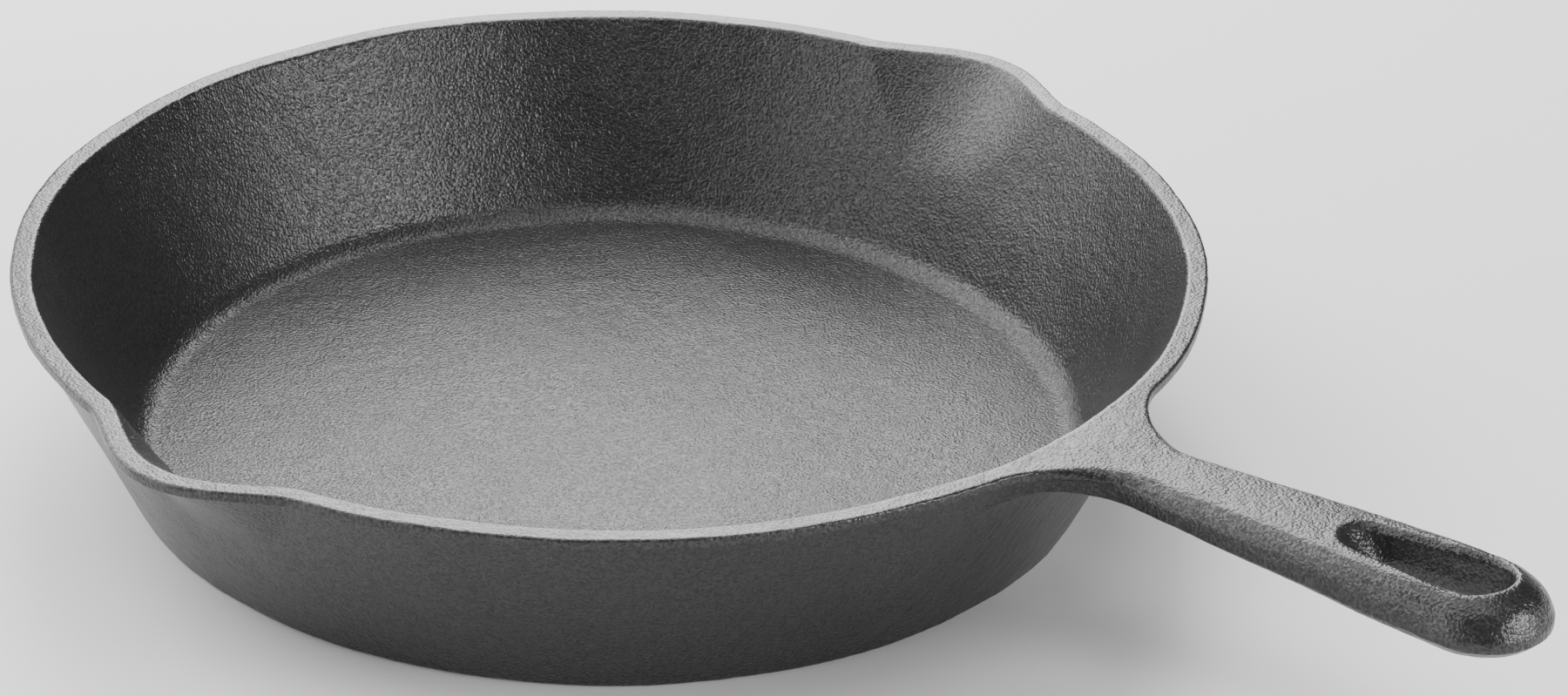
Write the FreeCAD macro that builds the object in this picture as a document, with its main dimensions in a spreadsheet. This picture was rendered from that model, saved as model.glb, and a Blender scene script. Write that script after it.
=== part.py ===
import FreeCAD, Part
import Sketcher
import os
from math import asin, atan2, cos, hypot, pi, radians, sin, sqrt, tan

# A one-piece cast iron skillet, divided into its regions at the casting's natural lines.
# Origin: centre of the flat underside of the base. +X runs along the handle, +Z is up. Millimetres.

SIZES = {
    # bowl
    "base_radius": 125.7,         # flat underside, before its edge is rounded
    "base_round": 1.6,            # round between the underside and the wall
    "floor_radius": 114.0,        # the flat floor, inside the heel
    "floor_thickness": 4.5,
    "heel_round": 8.0,            # fillet between the floor and the inside of the wall
    "heel_height": 14.0,          # where the heel ends and the wall begins
    "wall_outer_top": 150.4,      # outside radius of the wall, just under the rim band
    "wall_inner_foot": 121.8,     # inside radius, carried down to the height of the floor
    "wall_inner_top": 147.2,      # inside radius at the rim
    "rim_radius": 152.5,
    "rim_height": 55.4,           # from the table to the top of the rim
    "rim_band": 2.9,              # height of the band round the outside of the rim
    "rim_round": 0.7,
    # pouring lips: left is on the left hand of a cook who holds the handle, at -Y
    "lip_half_angle": 13.0,       # degrees each side of the lip's middle
    "lip_reach": 10.7,            # how far the rim bulges outward
    "lip_fade": 2.2,              # power with which the channel grows from its foot to the rim
    # handle
    "handle_reach": 278.0,        # from the pan's axis to the tip of the handle
    "handle_end_radius": 16.7,
    "neck_half_width": 11.2,
    "flare_radius": 26.0,         # concave sweep from the neck into the rim
    "handle_bend": 170.0,         # where the top begins to rise
    "bend_half_length": 8.0,      # length of the bend each side of that place
    "handle_rise": 5.2,           # rise of the top face at the tip
    "handle_drop": 1.2,           # fall of the underside at the tip
    "root_thickness": 8.2,
    "root_inside": 135.0,         # inner end of the handle's blank, trimmed later by the bowl
    "root_half_angle": 17.0,      # degrees of wall and rim each side that carry the handle
    "shoulder_round": 4.4,        # round along the top edges of the grip
    "flare_round": 0.9,           # the same round where the flare meets the rim
    "under_round": 1.2,           # round along the bottom edges
    "grip_end": 217.0,            # where the grip ends and the hanging loop begins
    "eye_start": 223.2,
    "eye_start_radius": 5.8,
    "eye_end": 267.6,
    "eye_end_radius": 9.3,
    "eye_round": 1.5,             # round of the eye's mouth
}

doc = FreeCAD.newDocument("skillet")
sheet = doc.addObject("Spreadsheet::Sheet", "sizes")
for row, (name, number) in enumerate(SIZES.items(), start=1):
    sheet.set(f"A{row}", name)
    sheet.set(f"B{row}", str(number))
    sheet.setAlias(f"B{row}", name)
doc.recompute()


def size(name):
    return float(sheet.get(name))


def vec(x, y, z=0.0):
    return FreeCAD.Vector(x, y, z)


def in_cells(formula):
    """A formula written with {names} of sizes, as the document's expressions write it."""
    return formula.replace("{", "sizes.").replace("}", "")


def value(formula):
    return float(sheet.evalExpression(in_cells(formula)))


def bind(obj, prop, formula):
    obj.setExpression(prop, in_cells(formula))


# The wall is a straight taper, outside and inside, so its radii are formulas in the height.
BAND_FOOT = "({rim_height} - {rim_band})"


def outer(height):
    return f"{{base_radius}} + ({{wall_outer_top}} - {{base_radius}}) * ({height}) / {BAND_FOOT}"


def inner(height):
    rise = f"(({height}) - {{floor_thickness}}) / ({{rim_height}} - {{floor_thickness}})"
    return f"{{wall_inner_foot}} + ({{wall_inner_top}} - {{wall_inner_foot}}) * {rise}"


# ---------------------------------------------------------------- bodies and sketches

def new_body(name, turn=0.0):
    body = doc.addObject("PartDesign::Body", name)
    body.Label = name
    body.Placement = FreeCAD.Placement(vec(0, 0), FreeCAD.Rotation(vec(0, 0, 1), turn))
    return body


def new_sketch(body, name, role):
    sketch = body.newObject("Sketcher::SketchObject", name)
    plane = next(f for f in body.Origin.OriginFeatures if f.Role == role)
    sketch.AttachmentSupport = [(plane, "")]
    sketch.MapMode = "FlatFace"
    return sketch


def profile(body, name, corners):
    """A closed outline of straight lines on the XZ plane, its corners bound to formulas."""
    sketch = new_sketch(body, name, "XZ_Plane")
    points = [vec(value(x), value(z)) for x, z in corners]
    count = len(points)
    for i in range(count):
        sketch.addGeometry(Part.LineSegment(points[i], points[(i + 1) % count]), False)
    for i in range(count):
        sketch.addConstraint(Sketcher.Constraint("Coincident", i, 2, (i + 1) % count, 1))
    for i, formulas in enumerate(corners):
        for kind, axis, formula in zip(("DistanceX", "DistanceY"), (-2, -1), formulas):
            if formula == "0":
                sketch.addConstraint(Sketcher.Constraint("PointOnObject", i, 1, axis))
                continue
            index = sketch.addConstraint(Sketcher.Constraint(kind, -1, 1, i, 1, value(formula)))
            sketch.renameConstraint(index, f"{kind}{i}")
            bind(sketch, f"Constraints.{kind}{i}", formula)
    return sketch


def revolve(body, sketch, angle):
    """Turn a profile about the pan's axis, evenly to both sides of the XZ plane."""
    turned = body.newObject("PartDesign::Revolution", f"{body.Name}_revolution")
    turned.Profile = sketch
    turned.ReferenceAxis = (sketch, ["V_Axis"])
    turned.Midplane = True
    bind(turned, "Angle", angle)
    doc.recompute()
    return turned


CLOSE = 0.01                      # how near an edge must be to the place it is looked for


def circle_edges(shape, radius, height):
    """Names of a shape's circular edges with this radius and height."""
    names = []
    for i, edge in enumerate(shape.Edges, start=1):
        curve = edge.Curve
        if not isinstance(curve, Part.Circle):
            continue
        if abs(curve.Radius - radius) < CLOSE and abs(curve.Center.z - height) < CLOSE:
            names.append(f"Edge{i}")
    return names


def round_edges(body, base, names, radius, label):
    rounded = body.newObject("PartDesign::Fillet", f"{body.Name}_{label}")
    rounded.Base = (base, names)
    bind(rounded, "Radius", radius)
    doc.recompute()
    return rounded


# ---------------------------------------------------------------- the bowl

def make_floor():
    body = new_body("pan_floor")
    sketch = new_sketch(body, "floor_circle", "XY_Plane")
    sketch.addGeometry(Part.Circle(vec(0, 0), vec(0, 0, 1), size("floor_radius")), False)
    sketch.addConstraint(Sketcher.Constraint("Coincident", 0, 3, -1, 1))
    rule = sketch.addConstraint(Sketcher.Constraint("Radius", 0, size("floor_radius")))
    sketch.renameConstraint(rule, "floor_radius")
    bind(sketch, "Constraints.floor_radius", "{floor_radius}")
    disc = body.newObject("PartDesign::Pad", "floor_disc")
    disc.Profile = sketch
    bind(disc, "Length", "{floor_thickness}")
    doc.recompute()
    return body


def make_heel():
    """The turn from the floor up into the wall, all the way round."""
    body = new_body("heel_ring")
    top = "{heel_height}"
    sketch = profile(body, "heel_profile", [
        ("{floor_radius}", "0"), ("{base_radius}", "0"), (outer(top), top), (inner(top), top),
        ("{wall_inner_foot}", "{floor_thickness}"), ("{floor_radius}", "{floor_thickness}"),
    ])
    ring = revolve(body, sketch, "360")
    under = circle_edges(ring.Shape, size("base_radius"), 0)
    ring = round_edges(body, ring, under, "{base_round}", "base_round")
    corner = circle_edges(ring.Shape, size("wall_inner_foot"), size("floor_thickness"))
    round_edges(body, ring, corner, "{heel_round}", "heel_round")
    return body


# Wall and rim run between the two lips on the far side, and from each lip to the handle's root.
FAR_SPAN = "180 - 2 * {lip_half_angle}"
NEAR_SPAN = "90 - {lip_half_angle} - {root_half_angle}"
NEAR_TURN = "(90 - {lip_half_angle} + {root_half_angle}) / 2"
ROOT_SPAN = "2 * {root_half_angle}"


def wall_corners():
    foot, top = "{heel_height}", BAND_FOOT
    return [(outer(foot), foot), (outer(top), top), (inner(top), top), (inner(foot), foot)]


def rim_corners():
    foot, top = BAND_FOOT, "{rim_height}"
    return [("{rim_radius}", foot), ("{rim_radius}", top), ("{wall_inner_top}", top), (inner(foot), foot)]


def make_wall(name, turn, span):
    body = new_body(name, turn)
    revolve(body, profile(body, f"{name}_profile", wall_corners()), span)
    return body


def make_rim(name, turn, span):
    body = new_body(name, turn)
    band = revolve(body, profile(body, f"{name}_profile", rim_corners()), span)
    edges = circle_edges(band.Shape, size("rim_radius"), size("rim_height"))
    edges += circle_edges(band.Shape, size("wall_inner_top"), size("rim_height"))
    edges += circle_edges(band.Shape, size("rim_radius"), value(BAND_FOOT))
    round_edges(body, band, edges, "{rim_round}", "rim_round")
    return body


def make_root_sector():
    """The wall and rim behind the handle, in one piece."""
    body = new_body("root_sector")
    wall, rim = wall_corners(), rim_corners()
    sketch = profile(body, "root_profile", wall[:2] + rim[:3] + wall[3:])
    sector = revolve(body, sketch, ROOT_SPAN)
    edges = circle_edges(sector.Shape, size("wall_inner_top"), size("rim_height"))
    round_edges(body, sector, edges, "{rim_round}", "rim_round")
    return body


LIP_POINTS = 9                    # points along each spline of a lip's section
LIP_LEVELS = (0.0, 0.25, 0.5, 0.75, 1.0)


def lip_section(body, name, height, outside, inside):
    """A lip's level section: two bulging curves joined by radial lines, in the +X sector."""
    sketch = new_sketch(body, name, "XY_Plane")
    bind(sketch, "AttachmentOffset.Base.z", height)
    half = radians(size("lip_half_angle"))
    grown = (value(height) - size("heel_height")) / (size("rim_height") - size("heel_height"))
    bulge = size("lip_reach") * grown ** size("lip_fade")

    def curve(radius):
        points = []
        for i in range(LIP_POINTS):
            angle = half * (2 * i / (LIP_POINTS - 1) - 1)
            reach = value(radius) + bulge * (1 + cos(pi * angle / half)) / 2
            points.append(vec(reach * cos(angle), reach * sin(angle)))
        spline = Part.BSplineCurve()
        spline.interpolate(
            Points=points,
            InitialTangent=vec(sin(half), cos(half)),
            FinalTangent=vec(-sin(half), cos(half)),
        )
        return spline, points[0], points[-1]

    far, far_start, far_end = curve(outside)
    near, near_start, near_end = curve(inside)
    sketch.addGeometry(far, False)
    sketch.addGeometry(Part.LineSegment(far_end, near_end), False)
    sketch.addGeometry(near, False)
    sketch.addGeometry(Part.LineSegment(near_start, far_start), False)
    return sketch


def loft(body, name, sections, ruled):
    lofted = body.newObject("PartDesign::AdditiveLoft", name)
    lofted.Profile = sections[0]
    lofted.Sections = sections[1:]
    lofted.Ruled = ruled
    doc.recompute()


def make_lip(name, turn):
    body = new_body(name, turn)
    wall = []
    for i, level in enumerate(LIP_LEVELS):
        height = f"{{heel_height}} + ({BAND_FOOT} - {{heel_height}}) * {level}"
        wall.append(lip_section(body, f"{name}_level_{i}", height, outer(height), inner(height)))
    loft(body, f"{name}_channel", wall, False)
    band = []
    for label, height in (("foot", BAND_FOOT), ("top", "{rim_height}")):
        sketch = lip_section(body, f"{name}_band_{label}", height, "{rim_radius}", inner(height))
        band.append(sketch)
    loft(body, f"{name}_band", band, True)
    return body


# ---------------------------------------------------------------- the handle

def flat_sketch(name, upright=False):
    """A sketch of its own on the XY plane, or on the XZ plane if upright."""
    sketch = doc.addObject("Sketcher::SketchObject", name)
    turn = FreeCAD.Rotation(vec(1, 0, 0), 90 if upright else 0)
    sketch.Placement = FreeCAD.Placement(vec(0, 0), turn)
    return sketch


def arc(centre, radius, start, end):
    return Part.ArcOfCircle(Part.Circle(centre, vec(0, 0, 1), radius), start, end)


def draw_loop(sketch, pieces):
    """Add the lines and arcs of a closed loop, each bound to its radius's cell if it has one."""
    for shape, radius in pieces:
        index = sketch.addGeometry(shape, False)
        if radius:
            rule = sketch.addConstraint(Sketcher.Constraint("Radius", index, value(radius)))
            sketch.renameConstraint(rule, f"radius{index}")
            bind(sketch, f"Constraints.radius{index}", radius)


def flare_centre():
    """Centre of the flare arc on the +Y side, which touches the rim and the neck."""
    reach = size("rim_radius") + size("flare_radius")
    across = size("neck_half_width") + size("flare_radius")
    return vec(sqrt(reach ** 2 - across ** 2), across)


def flare_start():
    """Where that arc leaves the rim."""
    return flare_centre() * (size("rim_radius") / (size("rim_radius") + size("flare_radius")))


def side_lean(flare_at, end_at):
    """Angle of the straight side, which touches the flare arc and the round end."""
    line = end_at - flare_at
    return atan2(line.y, line.x) + asin((size("flare_radius") + size("handle_end_radius")) / line.Length)


def handle_plan():
    """The handle from above: flares, tapering sides, round end and the eye."""
    sketch = flat_sketch("handle_plan")
    flare, end = size("flare_radius"), size("handle_end_radius")
    flare_at, at_rim = flare_centre(), flare_start()
    end_at = vec(size("handle_reach") - end, 0)
    lean = side_lean(flare_at, end_at)
    at_neck = flare_at + vec(sin(lean), -cos(lean)) * flare
    at_end = end_at + vec(-sin(lean), cos(lean)) * end
    to_rim = atan2(-flare_at.y, -flare_at.x)

    def mirrored(p):
        return vec(p.x, -p.y)

    start = vec(size("root_inside"), at_rim.y)
    flare_arc = arc(flare_at, flare, to_rim, lean - pi / 2)
    mirrored_arc = arc(mirrored(flare_at), flare, pi / 2 - lean, -to_rim)
    draw_loop(sketch, [
        (Part.LineSegment(start, at_rim), None),
        (flare_arc, "{flare_radius}"),
        (Part.LineSegment(at_neck, at_end), None),
        (arc(end_at, end, -pi / 2 - lean, pi / 2 + lean), "{handle_end_radius}"),
        (Part.LineSegment(mirrored(at_end), mirrored(at_neck)), None),
        (mirrored_arc, "{flare_radius}"),
        (Part.LineSegment(mirrored(at_rim), mirrored(start)), None),
        (Part.LineSegment(mirrored(start), start), None),
    ])

    big, small = size("eye_end_radius"), size("eye_start_radius")
    big_at = vec(size("eye_end") - big, 0)
    small_at = vec(size("eye_start") + small, 0)
    slope = asin((big - small) / (big_at.x - small_at.x))
    side = vec(-sin(slope), cos(slope))
    big_side, small_side = big_at + side * big, small_at + side * small
    draw_loop(sketch, [
        (arc(big_at, big, -pi / 2 - slope, pi / 2 + slope), "{eye_end_radius}"),
        (Part.LineSegment(big_side, small_side), None),
        (arc(small_at, small, pi / 2 + slope, 3 * pi / 2 - slope), "{eye_start_radius}"),
        (Part.LineSegment(mirrored(small_side), mirrored(big_side)), None),
    ])
    return sketch


def handle_side():
    """The handle from the side: level at the root, rising gently from the bend to the tip."""
    sketch = flat_sketch("handle_side", upright=True)
    top, bottom = size("rim_height"), size("rim_height") - size("root_thickness")
    inside, bend, tip = size("root_inside"), size("handle_bend"), size("handle_reach")
    run = size("bend_half_length")
    beyond = tip + size("handle_end_radius")
    climb = atan2(size("handle_rise"), tip - bend)
    fall = atan2(size("handle_drop"), tip - inside)
    bend_radius = run / tan(climb / 2)
    bend_start = vec(bend - run, top)
    bend_end = vec(bend + run * cos(climb), top + run * sin(climb))
    centre = bend_start + vec(0, bend_radius)
    corners = [
        vec(beyond, top + (beyond - bend) * tan(climb)),
        vec(beyond, bottom - (beyond - inside) * tan(fall)),
        vec(inside, bottom), vec(inside, top),
    ]
    pieces = [(Part.LineSegment(bend_end, corners[0]), None)]
    pieces += [(Part.LineSegment(a, b), None) for a, b in zip(corners, corners[1:])]
    pieces += [
        (Part.LineSegment(corners[-1], bend_start), None),
        (arc(centre, bend_radius, -pi / 2, climb - pi / 2), None),
    ]
    draw_loop(sketch, pieces)
    return sketch


def extrude(name, sketch, direction, forward, backward):
    solid = doc.addObject("Part::Extrusion", name)
    solid.Base = sketch
    solid.DirMode = "Custom"
    solid.Dir = direction
    solid.LengthFwd = forward
    solid.LengthRev = backward
    solid.Solid = True
    return solid


def boolean(kind, name, base, tool):
    joined = doc.addObject(f"Part::{kind}", name)
    joined.Base = base
    joined.Tool = tool
    doc.recompute()
    return joined


def handle_blank():
    """The whole handle: its plan and its side view, each extruded, and what they share."""
    clear = size("rim_radius")
    plan = extrude("plan_slab", handle_plan(), vec(0, 0, 1), clear, 0)
    side = extrude("side_slab", handle_side(), vec(0, 1, 0), clear, clear)
    return boolean("Common", "blank", plan, side)


def shoulder_at(x):
    """Radius of the top edge's round, growing from the rim to the neck."""
    rim, neck = size("rim_radius"), flare_centre().x
    share = min(max((x - rim) / (neck - rim), 0), 1)
    return size("flare_round") + share * (size("shoulder_round") - size("flare_round"))


def handle_rounds(shape):
    """The edges of the handle's blank to be rounded, each with its radius at both ends."""
    top, bottom = size("rim_height"), size("rim_height") - size("root_thickness")
    rounds = []
    for i, edge in enumerate(shape.Edges, start=1):
        start, end = edge.valueAt(edge.FirstParameter), edge.valueAt(edge.LastParameter)
        middle = edge.valueAt((edge.FirstParameter + edge.LastParameter) / 2)
        upright = hypot(end.x - start.x, end.y - start.y) < CLOSE
        crosswise = abs(end.x - start.x) < CLOSE and abs(middle.x - start.x) < CLOSE
        if upright or crosswise or middle.x < flare_start().x:
            continue
        beside_eye = abs(middle.y) < size("eye_end_radius") + CLOSE
        if middle.z < bottom + CLOSE:
            radii = size("under_round"), size("under_round")
        elif middle.z < top - CLOSE:
            continue
        elif beside_eye and middle.x < size("eye_end") + CLOSE:
            radii = size("eye_round"), size("eye_round")
        else:
            radii = shoulder_at(start.x), shoulder_at(end.x)
        rounds.append((i, *radii))
    return rounds


def pan_envelope():
    """The bowl's outside as one solid cone and the rim's band, which the handle stops at."""
    cone = doc.addObject("Part::Cone", "wall_cone")
    bind(cone, "Radius1", "{base_radius}")
    bind(cone, "Radius2", "{wall_outer_top}")
    bind(cone, "Height", BAND_FOOT)
    band = doc.addObject("Part::Cylinder", "band_disc")
    bind(band, "Radius", "{rim_radius}")
    bind(band, "Height", "2 * {rim_band}")
    bind(band, "Placement.Base.z", BAND_FOOT)
    return boolean("Fuse", "pan_envelope", cone, band)


def make_handle():
    blank = handle_blank()
    rounded = doc.addObject("Part::Fillet", "rounded_blank")
    rounded.Base = blank
    rounded.Edges = handle_rounds(blank.Shape)
    doc.recompute()
    handle = boolean("Cut", "whole_handle", rounded, pan_envelope())
    rim = size("rim_radius")
    cuts = [size("root_inside"), flare_centre().x, size("grip_end"), size("handle_reach") + 1]
    pieces = []
    for name, start, end in zip(("root_flare", "handle_grip", "hanging_loop"), cuts, cuts[1:]):
        box = doc.addObject("Part::Box", f"{name}_reach")
        box.Length, box.Width, box.Height = end - start, 2 * rim, rim
        box.Placement.Base = vec(start, -rim, 0)
        pieces.append(boolean("Common", name, handle, box))
    pieces[0] = boolean("Fuse", "handle_root", pieces[0], make_root_sector())
    return pieces


nodes = [
    make_floor(),
    make_heel(),
    make_wall("wall_far", 180, FAR_SPAN),
    make_wall("wall_left", -value(NEAR_TURN), NEAR_SPAN),
    make_wall("wall_right", value(NEAR_TURN), NEAR_SPAN),
    make_rim("rim_far", 180, FAR_SPAN),
    make_rim("rim_left", -value(NEAR_TURN), NEAR_SPAN),
    make_rim("rim_right", value(NEAR_TURN), NEAR_SPAN),
    make_lip("pour_lip_left", -90),
    make_lip("pour_lip_right", 90),
    *make_handle(),
]
doc.recompute()

for item in doc.Objects:
    if "Invalid" in item.State or "Error" in item.State:
        raise RuntimeError(f"{item.Label} did not build: {item.State}")
for node in nodes:
    if node.Shape.isNull() or not node.Shape.isValid() or len(node.Shape.Solids) != 1:
        raise RuntimeError(f"{node.Label} is not one valid solid")

os.makedirs("parts", exist_ok=True)
for node in nodes:
    node.Shape.exportStep(f"parts/{node.Label}.step")
    print(node.Label, round(node.Shape.Volume / 1000, 2), "cm3")
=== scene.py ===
from math import asin, atan2, cos, hypot, pi, radians, sin, sqrt, tan

import bmesh
import bpy
import numpy as np
import openvdb as vdb
from mathutils import Matrix, Vector


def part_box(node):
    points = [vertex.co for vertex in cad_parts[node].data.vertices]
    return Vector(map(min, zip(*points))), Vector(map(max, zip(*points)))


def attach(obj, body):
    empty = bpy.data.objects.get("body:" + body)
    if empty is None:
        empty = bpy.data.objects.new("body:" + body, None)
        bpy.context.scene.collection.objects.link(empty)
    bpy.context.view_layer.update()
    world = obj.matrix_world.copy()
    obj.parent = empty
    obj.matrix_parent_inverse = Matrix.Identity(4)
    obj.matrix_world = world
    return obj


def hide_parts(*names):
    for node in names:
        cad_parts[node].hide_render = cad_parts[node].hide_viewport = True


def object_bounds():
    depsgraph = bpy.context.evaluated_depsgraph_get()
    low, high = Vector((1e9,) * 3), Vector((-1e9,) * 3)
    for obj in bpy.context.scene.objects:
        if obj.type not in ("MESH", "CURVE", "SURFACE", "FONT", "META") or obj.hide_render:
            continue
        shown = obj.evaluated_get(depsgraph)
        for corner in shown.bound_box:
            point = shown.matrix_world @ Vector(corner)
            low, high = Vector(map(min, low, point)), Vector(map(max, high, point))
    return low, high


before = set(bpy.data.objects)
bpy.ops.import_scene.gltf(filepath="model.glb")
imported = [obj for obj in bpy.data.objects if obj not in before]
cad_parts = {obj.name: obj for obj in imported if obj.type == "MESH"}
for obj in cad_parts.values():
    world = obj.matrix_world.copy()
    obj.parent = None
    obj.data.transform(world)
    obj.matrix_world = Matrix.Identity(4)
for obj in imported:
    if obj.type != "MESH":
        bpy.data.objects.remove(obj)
cad_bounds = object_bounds()

# ---------------------------------------------------------------- sizes, in millimetres

MM = 0.001


def box(node):
    """Lowest and highest corner of a CAD node, in millimetres."""
    low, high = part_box(node)
    return [c / MM for c in low], [c / MM for c in high]


FLOOR_RADIUS, FLOOR_THICKNESS = box("pan_floor")[1][0], box("pan_floor")[1][2]
HEEL_RADIUS, HEEL_HEIGHT = box("heel_ring")[1][0], box("heel_ring")[1][2]
WALL_TOP_RADIUS, BAND_FOOT = -box("wall_far")[0][0], box("wall_far")[1][2]
RIM_RADIUS, RIM_HEIGHT = -box("rim_far")[0][0], box("rim_far")[1][2]
LIP_RADIUS = box("pour_lip_right")[1][1]
GRIP_START, GRIP_END = box("handle_grip")[0][0], box("handle_grip")[1][0]
HANDLE_TIP, TIP_BOTTOM = box("hanging_loop")[1][0], box("hanging_loop")[0][2]
END_RADIUS = box("hanging_loop")[1][1]

# Sizes that no box holds, as in the CAD model apart from the lips' shape.
RIM_INSIDE = 147.2               # inside radius at the top of the rim
FLOOR_INSIDE = 121.8             # inside radius, carried down to the floor
BASE_ROUND = 1.6
HEEL_ROUND = 8.0
RIM_ROUND = 0.7
LIP_HALF_ANGLE = 13.0            # degrees
LIP_FOOT = 29.0                  # height at which the channel begins
LIP_FADE = 1.4                   # nearer 1 begins more suddenly at the foot
LIP_FULLNESS = 1.7               # nearer 1 is fuller, with sharper flanks
LIP_BLEND = 8.0                  # height over which the outside's fullness changes, under the band
LIP_OUTER_FULLNESS = 1.3         # below the rim the outside is fuller than the channel
LIP_NARROWS = 0.55               # share of its width that the channel loses down to its foot
LIP_DIP = 0.8                    # how far the rim sinks at the lip's middle
LIP_DIP_HEIGHT = 25.0            # height over which the dip fades in, up to the rim
ROOT_HALF_ANGLE = 17.0           # degrees
NECK_HALF_WIDTH = 11.2
FLARE_RADIUS = 26.0
ROOT_THICKNESS = 8.2
BEND = 170.0                     # where the top of the handle begins to rise
BEND_HALF_LENGTH = 8.0
HANDLE_RISE = 5.2
HANDLE_DROP = 1.2
BLANK_START = 135.0              # where the underside's fall is measured from
EYE_START, EYE_START_RADIUS = 223.2, 5.8
EYE_END, EYE_END_RADIUS = 267.6, 9.3

OUTER_TAPER = (WALL_TOP_RADIUS - HEEL_RADIUS) / (BAND_FOOT - HEEL_HEIGHT)
INNER_TAPER = (RIM_INSIDE - FLOOR_INSIDE) / (RIM_HEIGHT - FLOOR_THICKNESS)
OUTER_SQUARE = 1 / sqrt(1 + OUTER_TAPER ** 2)     # turns a level gap into a true distance
INNER_SQUARE = 1 / sqrt(1 + INNER_TAPER ** 2)


def outer_radius(z):
    return HEEL_RADIUS + OUTER_TAPER * (z - HEEL_HEIGHT)


def inner_radius(z):
    return FLOOR_INSIDE + INNER_TAPER * (z - FLOOR_THICKNESS)


# ---------------------------------------------------------------- the casting as a distance field
# Each function gives the distance to a surface, negative inside the iron.

def joined(a, b, radius):
    """Two solids joined, with a concave fillet where they meet."""
    return np.maximum(radius, np.minimum(a, b)) - np.hypot(
        np.maximum(radius - a, 0), np.maximum(radius - b, 0))


def trimmed(a, b, radius):
    """What two solids share, with its edge rounded."""
    return np.minimum(-radius, np.maximum(a, b)) + np.hypot(
        np.maximum(a + radius, 0), np.maximum(b + radius, 0))


def ramp(value, start, end):
    """0 before start, 1 after end, and a smooth curve between."""
    t = np.clip((value - start) / (end - start), 0, 1)
    return t * t * (3 - 2 * t)


BAND_FILLET = 1.2                # concave, under the rim's band


def skin(r, z):
    """The outside of the bowl: a tapered wall with a band round the rim, and no top."""
    wall = (r - outer_radius(z)) * OUTER_SQUARE
    band = trimmed(r - RIM_RADIUS, BAND_FOOT - z, RIM_ROUND)
    return joined(wall, band, BAND_FILLET)


def cavity(r, z):
    return (inner_radius(z) - r) * INNER_SQUARE


def bowl(r, z):
    return trimmed(trimmed(skin(r, z), z - RIM_HEIGHT, RIM_ROUND), cavity(r, z), RIM_ROUND)


END_X = HANDLE_TIP - END_RADIUS  # centre of the handle's round end
CLIMB = atan2(HANDLE_RISE, HANDLE_TIP - BEND)
FALL = atan2(HANDLE_DROP, HANDLE_TIP - BLANK_START)


def side_lean():
    """Angle of the handle's straight side, which touches the flare's arc and the round end."""
    across = NECK_HALF_WIDTH + FLARE_RADIUS
    along = END_X - sqrt((RIM_RADIUS + FLARE_RADIUS) ** 2 - across ** 2)
    return atan2(-across, along) + asin((FLARE_RADIUS + END_RADIUS) / hypot(across, along))


LEAN = side_lean()


def blade(x, y):
    """Distance in plan to the handle's straight sides and round end."""
    y = np.abs(y)
    straight = (END_X - x) * sin(LEAN) + y * cos(LEAN) - END_RADIUS
    past = (x - END_X) * cos(LEAN) + y * sin(LEAN) > 0
    return np.where(past, np.hypot(x - END_X, y) - END_RADIUS, straight)


def skin_radius(z):
    """The bowl's outside radius at each height, by halving the interval that holds it."""
    low, high = outer_radius(z) - 2, np.full_like(z, RIM_RADIUS + 3)
    for _ in range(30):
        middle = (low + high) / 2
        inside = skin(middle, z) < 0
        low, high = np.where(inside, middle, low), np.where(inside, high, middle)
    return (low + high) / 2


def flared(x, y, z, levels):
    """The bowl's outside joined in plan to the handle by an arc that touches both.

    levels are the grid's heights, along the last axis of x, y and z.
    """
    r = np.hypot(x, y)
    reach = skin_radius(levels) + FLARE_RADIUS
    # The arc's centre lies on a line beside the handle's straight side.
    offset = END_RADIUS + FLARE_RADIUS
    base = Vector((END_X - sin(LEAN) * offset, cos(LEAN) * offset))
    along = base.x * cos(LEAN) + base.y * sin(LEAN)
    back = along - np.sqrt(along ** 2 - base.length_squared + reach ** 2)
    centre_x, centre_y = base.x - back * cos(LEAN), base.y - back * sin(LEAN)
    across, up = x - centre_x, np.abs(y) - centre_y
    angle = np.arctan2(up, across)
    within = (angle > np.arctan2(-centre_y, -centre_x)) & (angle < LEAN - pi / 2)
    plain = np.minimum(blade(x, y), skin(r, z))
    return np.where(within, FLARE_RADIUS - np.hypot(across, up), plain)


CROWN = 0.003                    # how much the handle's top curves across its width
CROWN_START, CROWN_FULL = RIM_RADIUS + 5, GRIP_START + 20


def handle_top(x, y):
    """Height of the handle's top: level at the rim, rising from the bend, and slightly crowned."""
    radius = BEND_HALF_LENGTH / tan(CLIMB / 2)
    turned = np.clip(x - (BEND - BEND_HALF_LENGTH), 0, 2 * BEND_HALF_LENGTH)
    rise = turned ** 2 / (2 * radius)
    rise += np.maximum(x - (BEND + BEND_HALF_LENGTH), 0) * tan(CLIMB)
    crown = CROWN * y * y * ramp(x, CROWN_START, CROWN_FULL)
    return RIM_HEIGHT + rise - crown


def handle_bottom(x):
    return RIM_HEIGHT - ROOT_THICKNESS - (x - BLANK_START) * tan(FALL)


EYE_SLOPE_START = 1.5            # how far the narrow end has already moved in at the top
EYE_SLOPE = 6.5                  # how much further it moves between these two depths
EYE_SLOPE_FROM, EYE_SLOPE_TO = -1, 9


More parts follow.
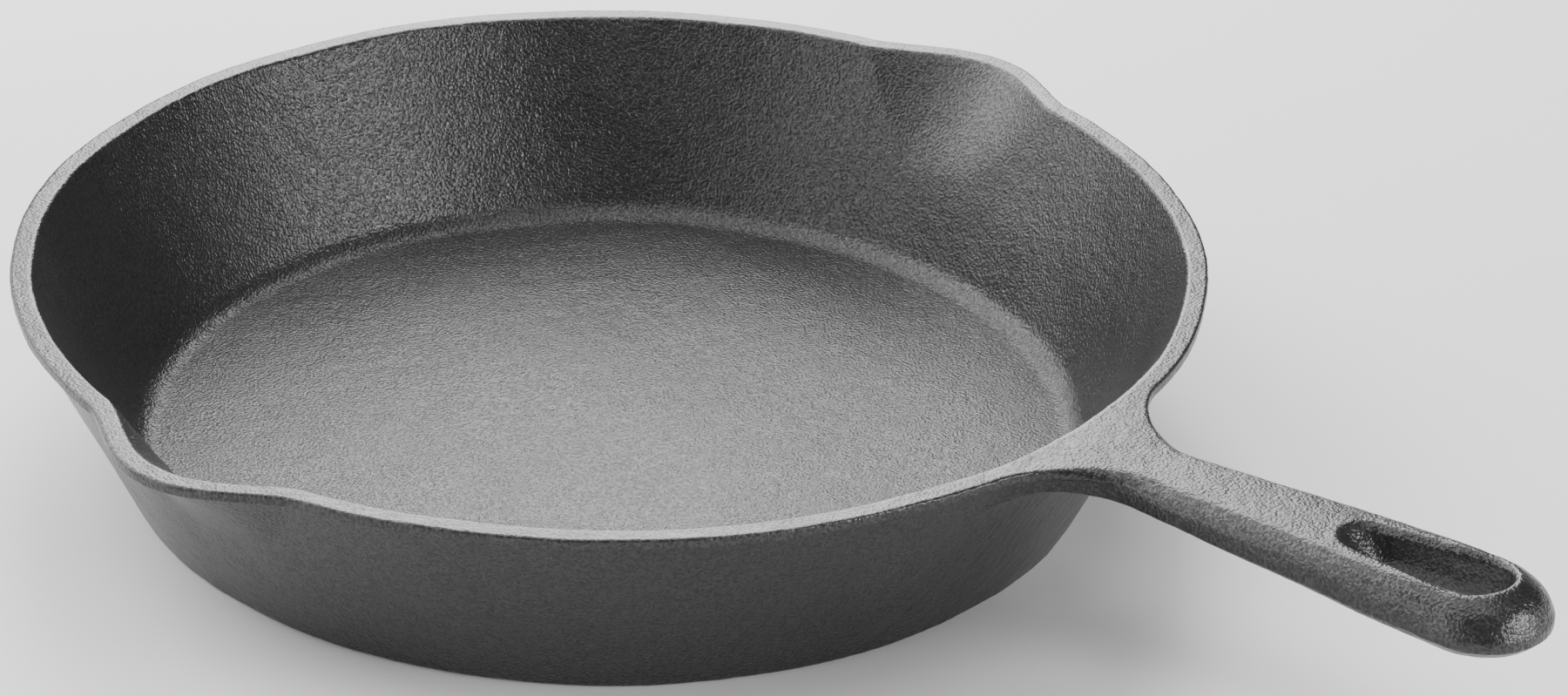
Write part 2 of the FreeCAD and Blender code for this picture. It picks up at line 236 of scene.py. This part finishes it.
def eye(x, y, depth):
    """Distance in plan to the hanging eye, a teardrop whose narrow end slopes inward."""
    big_x = EYE_END - EYE_END_RADIUS
    small_x = EYE_START + EYE_START_RADIUS + EYE_SLOPE_START
    small_x = small_x + EYE_SLOPE * ramp(depth, EYE_SLOPE_FROM, EYE_SLOPE_TO)
    gap = big_x - small_x
    lean = (EYE_END_RADIUS - EYE_START_RADIUS) / gap
    square = np.sqrt(1 - lean ** 2)
    y = np.abs(y)
    along = (x - small_x) * square + y * lean       # measured along the straight side
    straight = y * square - (x - small_x) * lean - EYE_START_RADIUS
    past = along > gap * square
    near_big = np.hypot(x - big_x, y) - EYE_END_RADIUS
    near_small = np.hypot(x - small_x, y) - EYE_START_RADIUS
    return np.where(past, near_big, np.where(along < 0, near_small, straight))


PARTING_HEIGHT = 0.3             # share of the thickness below the widest place
PARTING_HALF_BAND = 1.2
UPPER_DRAFT, LOWER_DRAFT = 0.06, 0.7
TIP_DRAFT = 0.35                 # more draft on both sides of the parting line at the tip
UNDER_FILLET = 5.0               # concave, between the handle's underside and the wall
UNDER_ROUND = 1.4
TIP_SHARPER = 0.6                # share of the underside's rounding that is gone at the tip
SHOULDER_ROUND = 4.0             # added to the top edge's rounding along the handle
TIP_SHOULDER = 2.0               # and this much more at the tip
BOWL_REACH = 6.0                 # distance over which the handle's edges are rounded in from the wall
TIP_SHAPE_START, TIP_SHAPE_FULL = GRIP_END + 30, HANDLE_TIP - 6
EYE_ROUND = 2.3


def handle_and_bowl(x, y, z, levels):
    """The bowl beside the handle, and all of the handle."""
    r = np.hypot(x, y)
    top, bottom = handle_top(x, y), handle_bottom(x)
    outside = skin(r, z)
    away = np.clip(outside / BOWL_REACH, 0, 1)               # 0 at the bowl, 1 a little way out
    share = ramp(r, RIM_RADIUS, GRIP_START)
    parting = bottom + (top - bottom) * PARTING_HEIGHT
    tip = ramp(x, TIP_SHAPE_START, TIP_SHAPE_FULL)
    draft = (UPPER_DRAFT + TIP_DRAFT * tip) * np.maximum(z - parting - PARTING_HALF_BAND, 0)
    draft += (LOWER_DRAFT + TIP_DRAFT * tip) * np.maximum(parting - PARTING_HALF_BAND - z, 0)
    sides = flared(x, y, z, levels) + draft * share
    under = joined(outside, bottom - z, UNDER_FILLET)
    body = trimmed(under, sides, UNDER_ROUND * away * (1 - TIP_SHARPER * tip))
    shoulder = RIM_ROUND + share * SHOULDER_ROUND + TIP_SHOULDER * ramp(x, GRIP_END, HANDLE_TIP)
    body = trimmed(body, z - top, shoulder)
    body = trimmed(body, -eye(x, y, top - z), EYE_ROUND)
    return trimmed(body, cavity(r, z), RIM_ROUND)


# ---------------------------------------------------------------- meshes

# Wavelength and depth of what the sand left in the surface, and how many waves of each kind.
SAND_WAVES = (
    (60, 0.10, 6), (34, 0.06, 6), (20, 0.03, 8), (12, 0.014, 10), (7, 0.009, 14), (4.3, 0.008, 20),
    (2.9, 0.008, 24))


def unevenness(points):
    """How far sand casting has pushed each point about: long, shallow waves in all directions."""
    random = np.random.RandomState(7)
    moved = np.zeros_like(points)
    for wavelength, depth, waves in SAND_WAVES:
        for _ in range(waves):
            way = random.normal(size=3)
            way *= 2 * pi / wavelength / np.linalg.norm(way)
            push = random.normal(size=3)
            push *= depth / np.linalg.norm(push)
            wave = np.sin(points @ way + random.uniform(0, 2 * pi))
            moved += wave[:, None] * push
    return moved


SHARP = radians(50)              # edges that turn by more than this are not smoothed


def finished(name, points, faces, cut=()):
    """A piece from points in millimetres: cut by planes, made uneven and smoothed.

    Every cut is capped before the next, because a cap that spans two planes would be false. The
    unevenness is held inside the CAD model's box. Each cut is a point on a plane and the plane's
    normal, which points at what is cut away.
    """
    mesh = bpy.data.meshes.new(name)
    mesh.from_pydata(np.asarray(points, dtype=float), [], faces)
    form = bmesh.new()
    form.from_mesh(mesh)
    for at, normal in cut:
        everything = form.verts[:] + form.edges[:] + form.faces[:]
        bmesh.ops.bisect_plane(
            form, geom=everything, plane_co=at, plane_no=normal, clear_outer=True, dist=0.001)
        open_edges = [e for e in form.edges if e.is_boundary]
        bmesh.ops.triangle_fill(form, edges=open_edges, use_beauty=True, normal=normal)
    bmesh.ops.remove_doubles(form, verts=form.verts, dist=0.0005)
    loose = [e for e in form.edges if e.is_wire]
    bmesh.ops.delete(form, geom=loose, context="EDGES")
    bmesh.ops.recalc_face_normals(form, faces=form.faces)
    form.to_mesh(mesh)
    form.free()
    places = np.empty(len(mesh.vertices) * 3, dtype=np.float32)
    mesh.vertices.foreach_get("co", places)
    places = places.reshape(-1, 3).astype(float)
    places = np.clip((places + unevenness(places)) * MM, *cad_bounds)
    mesh.vertices.foreach_set("co", places.ravel())
    mesh.update()
    mesh.set_sharp_from_angle(angle=SHARP)
    piece = bpy.data.objects.new(name, mesh)
    bpy.context.collection.objects.link(piece)
    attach(piece, "root")
    return piece


def line(start, end, step):
    """Points from start to end, about a step apart, without the end."""
    count = max(1, round(hypot(end[0] - start[0], end[1] - start[1]) / step))
    return [
        (start[0] + (end[0] - start[0]) * i / count, start[1] + (end[1] - start[1]) * i / count)
        for i in range(count)
    ]


def corner(before, at, after, radius, step):
    """A corner of an outline, replaced by an arc of this radius that touches both its sides."""
    before, at, after = Vector(before), Vector(at), Vector(after)
    back, forth = (before - at).normalized(), (after - at).normalized()
    half = back.angle(forth) / 2
    centre = at + (back + forth).normalized() * (radius / sin(half))
    start = at + back * (radius / tan(half)) - centre
    end = at + forth * (radius / tan(half)) - centre
    turn = start.angle_signed(end)
    count = max(4, round(abs(turn) * radius / step))
    points = []
    for i in range(count + 1):
        spun = start.copy()
        spun.rotate(Matrix.Rotation(-turn * i / count, 2))
        points.append(tuple(centre + spun))
    return points


def lip_shift(angle, r, z):
    """How far a pouring lip bulges the bowl outward there, and how far it dips the rim.

    The channel inside widens all the way up. The outside is fuller, and moves the rim's band
    outward as a whole.
    """
    grown = np.clip((z - LIP_FOOT) / (RIM_HEIGHT - LIP_FOOT), 0, 1)
    below_band = np.clip((z - LIP_FOOT) / (BAND_FOOT - LIP_FOOT), 0, 1)
    is_outer = r > (outer_radius(z) + inner_radius(z)) / 2
    width = LIP_HALF_ANGLE * (1 - LIP_NARROWS * (1 - np.where(is_outer, below_band, grown)))
    off = (np.abs(angle) - 90) / width
    room = np.maximum(1 - off * off, 0)
    lower = ramp(z, BAND_FOOT, BAND_FOOT - LIP_BLEND)
    fullness = LIP_FULLNESS + (LIP_OUTER_FULLNESS - LIP_FULLNESS) * lower
    outside_growth = below_band ** LIP_FADE * room ** fullness
    inside_growth = grown ** LIP_FADE * room ** LIP_FULLNESS
    reach = (LIP_RADIUS - RIM_RADIUS) * np.where(is_outer, outside_growth, inside_growth)
    dip = LIP_DIP * ramp(z, RIM_HEIGHT - LIP_DIP_HEIGHT, RIM_HEIGHT) * room ** LIP_FULLNESS
    return reach, dip


def swept(name, outline, angles):
    """A piece of the bowl: a closed outline of radius and height, swept through these angles."""
    closed = abs(angles[-1] - angles[0] - 360) < 1e-6
    if closed:
        angles = angles[:-1]
    radius, height = np.array(outline).T
    angle, radius = np.meshgrid(angles, radius, indexing="ij")
    height = np.broadcast_to(height, radius.shape)
    reach, dip = lip_shift(angle, radius, height)
    radius, height = radius + reach, height - dip
    turn = np.radians(angle)
    points = np.stack([radius * np.cos(turn), radius * np.sin(turn), height], -1).reshape(-1, 3)
    around, along = angle.shape
    faces = []
    for i in range(around if closed else around - 1):
        here, there = i * along, (i + 1) % around * along
        for j in range(along):
            k = (j + 1) % along
            faces.append((here + j, there + j, there + k, here + k))
    if not closed:
        faces.append(tuple(range(along)))
        faces.append(tuple(range((around - 1) * along, around * along))[::-1])
    return finished(name, points, faces)


def along_rays(field, origins, directions, reach):
    """Where rays from inside the iron leave it."""
    origins, directions = np.array(origins), np.array(directions)
    low, high = np.zeros(len(origins)), np.full(len(origins), reach)
    for _ in range(30):
        middle = (low + high) / 2
        at = origins + directions * middle[:, None]
        inside = field(at[:, 0], at[:, 1]) < 0
        low, high = np.where(inside, middle, low), np.where(inside, high, middle)
    return [tuple(p) for p in origins + directions * low[:, None]]


STEP = 0.8                       # spacing of the bowl's rows
TURN_STEP = 1 / 3                # degrees between the bowl's columns
RIM_FOOT = BAND_FOOT - 2.0       # where the rim's piece begins, below the band's fillet
FAN_STEP = 6                     # degrees between the rays that trace the rim


def angles_between(start, end, step=TURN_STEP):
    return np.linspace(start, end, round((end - start) / step) + 1)


def wall_trace(way):
    """Points up the wall, on its outside for way 1 or its inside for way -1."""
    count = round((RIM_FOOT - HEEL_HEIGHT) / STEP)
    heights = np.linspace(HEEL_HEIGHT, RIM_FOOT, count + 1)
    middles = [((outer_radius(z) + inner_radius(z)) / 2, z) for z in heights]
    return along_rays(bowl, middles, [(way, 0)] * len(middles), 10)


def rim_trace():
    """Points over the rim, from the outside of its foot to the inside."""
    z = RIM_HEIGHT - 2.0
    centre = ((outer_radius(z) + inner_radius(z)) / 2 + 0.7, z)
    foot = Vector((outer_radius(RIM_FOOT), RIM_FOOT)) - Vector(centre)
    inner_foot = Vector((inner_radius(RIM_FOOT), RIM_FOOT)) - Vector(centre)
    start, end = atan2(foot.y, foot.x), atan2(inner_foot.y, inner_foot.x) + 2 * pi
    turns = np.linspace(start, end, round((end - start) / radians(FAN_STEP)) + 1)[1:-1]
    return along_rays(bowl, [centre] * len(turns), [(cos(a), sin(a)) for a in turns], 8)


outside, inside, over = wall_trace(1), wall_trace(-1), rim_trace()
wall_outline = outside + inside[::-1]
rim_outline = [outside[-1]] + over + [inside[-1]]
lip_outline = outside + over + inside[::-1]


def make_floor():
    top, rim = (0, FLOOR_THICKNESS), (FLOOR_RADIUS, FLOOR_THICKNESS)
    foot, bottom = (FLOOR_RADIUS, 0), (0, 0)
    outline = line(top, rim, 1.5) + line(rim, foot, 1.5) + line(foot, bottom, 1.5) + [bottom]
    return swept("pan_floor_iron", outline, angles_between(0, 360))


def make_heel():
    base = outer_radius(0)
    low, foot = (FLOOR_RADIUS, 0), (base, 0)
    shoulder, edge = (HEEL_RADIUS, HEEL_HEIGHT), (inner_radius(HEEL_HEIGHT), HEEL_HEIGHT)
    well, high = (FLOOR_INSIDE, FLOOR_THICKNESS), (FLOOR_RADIUS, FLOOR_THICKNESS)
    under = corner(low, foot, shoulder, BASE_ROUND, 0.6)
    inner = corner(edge, well, high, HEEL_ROUND, 0.6)
    outline = line(low, under[0], STEP) + under + line(under[-1], shoulder, STEP)[1:]
    outline += line(shoulder, edge, STEP) + line(edge, inner[0], STEP) + inner
    outline += line(inner[-1], high, STEP)[1:] + line(high, low, STEP)
    return swept("heel_ring_iron", outline, angles_between(0, 360))


VOXEL = 0.45
MARGIN = 3.0                     # how far a field reaches past the cuts that will trim it


def from_field(name, low, high, cut):
    """A piece meshed from the distance field within a box, then cut to its place."""
    axes = [np.arange(a, b, VOXEL, dtype=np.float32) for a, b in zip(low, high)]
    x, y, z = np.meshgrid(*axes, indexing="ij")
    distance = handle_and_bowl(x, y, z, axes[2])
    for side in (0, -1):         # close the mesh at the sides of its box
        distance[side], distance[:, side], distance[:, :, side] = 1, 1, 1
    grid = vdb.FloatGrid(background=3.0)
    grid.copyFromArray(np.clip(distance / VOXEL, -3, 3).astype(np.float32))
    points, quads = grid.convertToQuads(0.0)
    points = points * VOXEL + np.array([axis[0] for axis in axes])
    return finished(name, points, quads[:, ::-1].tolist(), cut)


def sector_cuts():
    turn = radians(ROOT_HALF_ANGLE)
    return [
        ((0, 0, HEEL_HEIGHT), (0, 0, -1)),
        ((0, 0, 0), (-sin(turn), cos(turn), 0)),
        ((0, 0, 0), (-sin(turn), -cos(turn), 0)),
        ((GRIP_START, 0, 0), (1, 0, 0)),
    ]


def make_root():
    wide = RIM_RADIUS * sin(radians(ROOT_HALF_ANGLE)) + MARGIN
    near = inner_radius(HEEL_HEIGHT) * cos(radians(ROOT_HALF_ANGLE)) - MARGIN
    low = (near, -wide, HEEL_HEIGHT - MARGIN)
    high = (GRIP_START + MARGIN, wide, RIM_HEIGHT + MARGIN)
    return from_field("handle_root_iron", low, high, sector_cuts())


def make_handle_length(name, start, end):
    """A length of the handle; the last one runs to the tip."""
    low = (start - MARGIN, -END_RADIUS - MARGIN, TIP_BOTTOM - MARGIN)
    high = (end + MARGIN, END_RADIUS + MARGIN, RIM_HEIGHT + HANDLE_RISE + MARGIN)
    cuts = [((start, 0, 0), (-1, 0, 0))]
    if end < HANDLE_TIP:
        cuts.append(((end, 0, 0), (1, 0, 0)))
    return from_field(name, low, high, cuts)


SECTORS = {                      # the plain stretches of the bowl, in degrees
    "far": (90 + LIP_HALF_ANGLE, 270 - LIP_HALF_ANGLE),
    "left": (-90 + LIP_HALF_ANGLE, -ROOT_HALF_ANGLE),
    "right": (ROOT_HALF_ANGLE, 90 - LIP_HALF_ANGLE),
}
pieces = {"pan_floor": make_floor(), "heel_ring": make_heel()}
for side, (start, end) in SECTORS.items():
    turns = angles_between(start, end)
    pieces[f"wall_{side}"] = swept(f"wall_{side}_iron", wall_outline, turns)
    pieces[f"rim_{side}"] = swept(f"rim_{side}_iron", rim_outline, turns)
for side, middle in (("left", -90), ("right", 90)):
    turns = angles_between(middle - LIP_HALF_ANGLE, middle + LIP_HALF_ANGLE)
    pieces[f"pour_lip_{side}"] = swept(f"pour_lip_{side}_iron", lip_outline, turns)
pieces["handle_root"] = make_root()
pieces["handle_grip"] = make_handle_length("handle_grip_iron", GRIP_START, GRIP_END)
pieces["hanging_loop"] = make_handle_length("hanging_loop_iron", GRIP_END, HANDLE_TIP)


# ---------------------------------------------------------------- material

def add_node(tree, kind, **inputs):
    """A node of this kind, its inputs set to values, or linked where they are given sockets."""
    node = tree.nodes.new(kind)
    for name, value in inputs.items():
        socket = node.inputs[name.replace("_", " ")]
        if isinstance(value, bpy.types.NodeSocket):
            tree.links.new(value, socket)
        else:
            socket.default_value = value
    return node


def add_math(tree, operation, first, second, third=0.0):
    node = tree.nodes.new("ShaderNodeMath")
    node.operation = operation
    for socket, value in zip(node.inputs, (first, second, third)):
        if isinstance(value, bpy.types.NodeSocket):
            tree.links.new(value, socket)
        else:
            socket.default_value = value
    return node.outputs[0]


def spread(tree, value, low, high, to_low, to_high):
    """value, mapped from the range low to high onto another range, and held inside it."""
    node = add_node(tree, "ShaderNodeMapRange", Value=value)
    for name, bound in (("From Min", low), ("From Max", high), ("To Min", to_low), ("To Max", to_high)):
        node.inputs[name].default_value = bound
    return node.outputs["Result"]


GRAIN_SCALE = 1300.0             # noise cells to a metre: bumps under a millimetre across
LUMP_SCALE = 330.0
PATCH_SCALE = 22.0
STREAK_SCALE = 900.0
STREAK_STRETCH = 0.09            # the noise's scale up and down, which draws it out into streaks
STREAK_FULL, STREAK_END = 0.0505, 0.0535      # heights, in metres, between which streaks fade out
GRAIN_HEIGHT, LUMP_HEIGHT = 0.00036, 0.00010  # metres
ROUGHNESS = 0.32
IRON_SHADE = 0.045
GROUND_SHADE = 0.055
GROUND_FROM = 0.0528             # height, in metres, above which upward faces are ground
GROUND_SAND = 0.55               # share of the sand's texture that grinding leaves


def noise(tree, place, scale, detail, roughness):
    node = add_node(
        tree, "ShaderNodeTexNoise", Vector=place, Scale=scale, Detail=detail, Roughness=roughness)
    return node.outputs["Fac"]


def make_iron(name, grain_height, lump_height, streak_height=0.0):
    """Seasoned cast iron: sand grain over soft lumps, under a thin baked film of oil.

    Heights are in metres. The level top of the rim is ground, so it is smoother and lighter.
    streak_height is the depth of the upright marks that a grinding wheel leaves along the lower
    part of the handle's sides.
    """
    material = bpy.data.materials.new(name)
    material.use_nodes = True
    tree = material.node_tree
    shader = tree.nodes["Principled BSDF"]
    shader.inputs["Metallic"].default_value = 0.6
    shader.inputs["IOR"].default_value = 1.5
    place = tree.nodes.new("ShaderNodeTexCoord").outputs["Object"]
    spot = add_node(tree, "ShaderNodeSeparateXYZ", Vector=place).outputs
    facing = tree.nodes.new("ShaderNodeNewGeometry").outputs["Normal"]
    upward = add_node(tree, "ShaderNodeSeparateXYZ", Vector=facing).outputs["Z"]
    on_top = spread(tree, spot["Z"], GROUND_FROM, GROUND_FROM + 0.001, 0.0, 1.0)
    off_handle = spread(tree, spot["X"], 0.150, 0.160, 1.0, 0.0)
    ground = add_math(tree, "MULTIPLY", spread(tree, upward, 0.5, 0.85, 0.0, 1.0), on_top)
    ground = add_math(tree, "MULTIPLY", ground, off_handle)
    sand = add_math(tree, "MULTIPLY_ADD", ground, GROUND_SAND - 1, 1.0)

    grain = noise(tree, place, GRAIN_SCALE, 1.5, 0.5)
    lumps = noise(tree, place, LUMP_SCALE, 1.0, 0.5)
    patches = noise(tree, place, PATCH_SCALE, 3.0, 0.6)
    height = add_math(tree, "MULTIPLY", grain, grain_height)
    height = add_math(tree, "MULTIPLY_ADD", lumps, lump_height, height)
    height = add_math(tree, "MULTIPLY", height, sand)
    if streak_height:
        upright = add_node(
            tree, "ShaderNodeMapping", Vector=place, Scale=(1.0, 1.0, STREAK_STRETCH))
        streaks = noise(tree, upright.outputs["Vector"], STREAK_SCALE, 2.0, 0.6)
        steep = spread(tree, add_math(tree, "ABSOLUTE", upward, 0.0), 0.35, 0.7, 1.0, 0.0)
        low = spread(tree, spot["Z"], STREAK_FULL, STREAK_END, 1.0, 0.0)
        outward = spread(tree, spot["X"], 0.165, 0.180, 0.0, 1.0)
        depth = add_math(tree, "MULTIPLY", add_math(tree, "MULTIPLY", steep, low), outward)
        depth = add_math(tree, "MULTIPLY", depth, streak_height)
        height = add_math(tree, "MULTIPLY_ADD", streaks, depth, height)
    bump = add_node(tree, "ShaderNodeBump", Height=height, Distance=1.0, Strength=1.0)
    tree.links.new(bump.outputs["Normal"], shader.inputs["Normal"])

    worn = spread(tree, patches, 0.3, 0.7, ROUGHNESS - 0.04, ROUGHNESS + 0.04)
    tree.links.new(worn, shader.inputs["Roughness"])
    # Painted shade: the specular level falls in the pits between the grains and rises on their peaks,
    # standing in for the shade that falls in the pits.
    pit_shade_specular = spread(tree, grain, 0.35, 0.65, 0.32, 0.68)      # painted shade in the pits between the grains
    tree.links.new(pit_shade_specular, shader.inputs["Specular IOR Level"])
    tone = spread(tree, patches, 0.3, 0.7, 0.93, 1.07)
    peaks = spread(tree, grain, 0.35, 0.65, 0.75, 1.25)
    tone = add_math(tree, "MULTIPLY", tone, peaks)
    shade = add_math(tree, "MULTIPLY_ADD", ground, GROUND_SHADE - IRON_SHADE, IRON_SHADE)
    tree.links.new(add_math(tree, "MULTIPLY", tone, shade), shader.inputs["Base Color"])
    return material


HANDLE_NODES = ("handle_root", "handle_grip", "hanging_loop")
iron = make_iron("seasoned_iron", GRAIN_HEIGHT, LUMP_HEIGHT)
ground_iron = make_iron("ground_rim", GRAIN_HEIGHT, LUMP_HEIGHT)
fettled = make_iron("fettled_iron", 0.00027, LUMP_HEIGHT, 0.00040)
for node, piece in pieces.items():
    is_rim = node.startswith("rim_")
    if is_rim:
        finish = ground_iron
    elif node in HANDLE_NODES:
        finish = fettled
    else:
        finish = iron
    piece.data.materials.append(finish)
    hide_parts(node)


# ---------------------------------------------------------------- floor, light and camera

FLOOR_GAP = 0.0002               # keeps the floor from lying in the same plane as the base


def make_floor_sheet():
    bpy.ops.mesh.primitive_plane_add(size=8, location=(0, 0, -FLOOR_GAP))
    sheet = bpy.context.object
    sheet.name = "studio_floor"
    paper = bpy.data.materials.new("paper")
    paper.use_nodes = True
    shader = paper.node_tree.nodes["Principled BSDF"]
    shader.inputs["Base Color"].default_value = (0.8, 0.8, 0.8, 1)
    shader.inputs["Roughness"].default_value = 0.7
    sheet.data.materials.append(paper)


VIEW_AZIMUTH, VIEW_ELEVATION = radians(41.6), radians(28.496)
CAMERA_DISTANCE = 1197.93 * MM
LENS, SENSOR_WIDTH = 104.93, 36
# The camera's small turns away from looking straight at the origin.
AIM_ROLL, AIM_SIDE, AIM_UP = radians(0.361), radians(-2.170), radians(1.085)


def from_pan(azimuth, elevation, distance):
    """A point at this distance from the origin. azimuth turns from -Y towards +X."""
    level = distance * cos(elevation)
    return Vector((level * sin(azimuth), -level * cos(azimuth), distance * sin(elevation)))


def make_camera():
    camera = bpy.data.objects.new("camera", bpy.data.cameras.new("camera"))
    bpy.context.collection.objects.link(camera)
    camera.data.lens = LENS
    camera.data.sensor_width = SENSOR_WIDTH
    camera.data.sensor_fit = "HORIZONTAL"
    turn = Matrix.Rotation(VIEW_AZIMUTH, 4, "Z") @ Matrix.Rotation(pi / 2 - VIEW_ELEVATION, 4, "X")
    aim = Matrix.Rotation(AIM_ROLL, 4, "Z") @ Matrix.Rotation(AIM_SIDE, 4, "Y")
    aim = aim @ Matrix.Rotation(AIM_UP, 4, "X")
    spot = from_pan(VIEW_AZIMUTH, VIEW_ELEVATION, CAMERA_DISTANCE)
    camera.matrix_world = Matrix.Translation(spot) @ turn @ aim
    bpy.context.scene.camera = camera


def softbox(name, azimuth, elevation, distance, width, height, radiance):
    """A lit panel facing the pan. azimuth, in degrees, is counted from the camera's own bearing."""
    panel = bpy.data.lights.new(name, "AREA")
    panel.shape = "RECTANGLE"
    panel.size, panel.size_y = width, height
    panel.energy = radiance * pi * width * height
    lamp = bpy.data.objects.new(name, panel)
    bpy.context.collection.objects.link(lamp)
    spot = from_pan(VIEW_AZIMUTH + radians(azimuth), radians(elevation), distance)
    lamp.location = spot
    lamp.rotation_euler = spot.to_track_quat("Z", "Y").to_euler()


make_floor_sheet()
make_camera()
softbox("back_box", 180, 38, 1.6, 0.75, 1.9, 10.0)
softbox("right_box", 61, 20, 1.6, 1.0, 0.36, 21.0)
softbox("left_box", -53, 20, 1.6, 0.75, 0.36, 9.5)
softbox("low_left_box", -96, 9, 1.6, 1.0, 0.36, 9.5)
softbox("high_left_box", -90, 52, 1.6, 0.75, 1.1, 4.5)
softbox("floor_box", -130, 34, 1.6, 1.1, 0.9, 8.0)
softbox("top_box", 0, 74, 1.6, 1.2, 0.7, 3.5)
world = bpy.data.worlds.new("studio")
world.use_nodes = True
world.node_tree.nodes["Background"].inputs["Color"].default_value = (0.02, 0.02, 0.02, 1)
bpy.context.scene.world = world
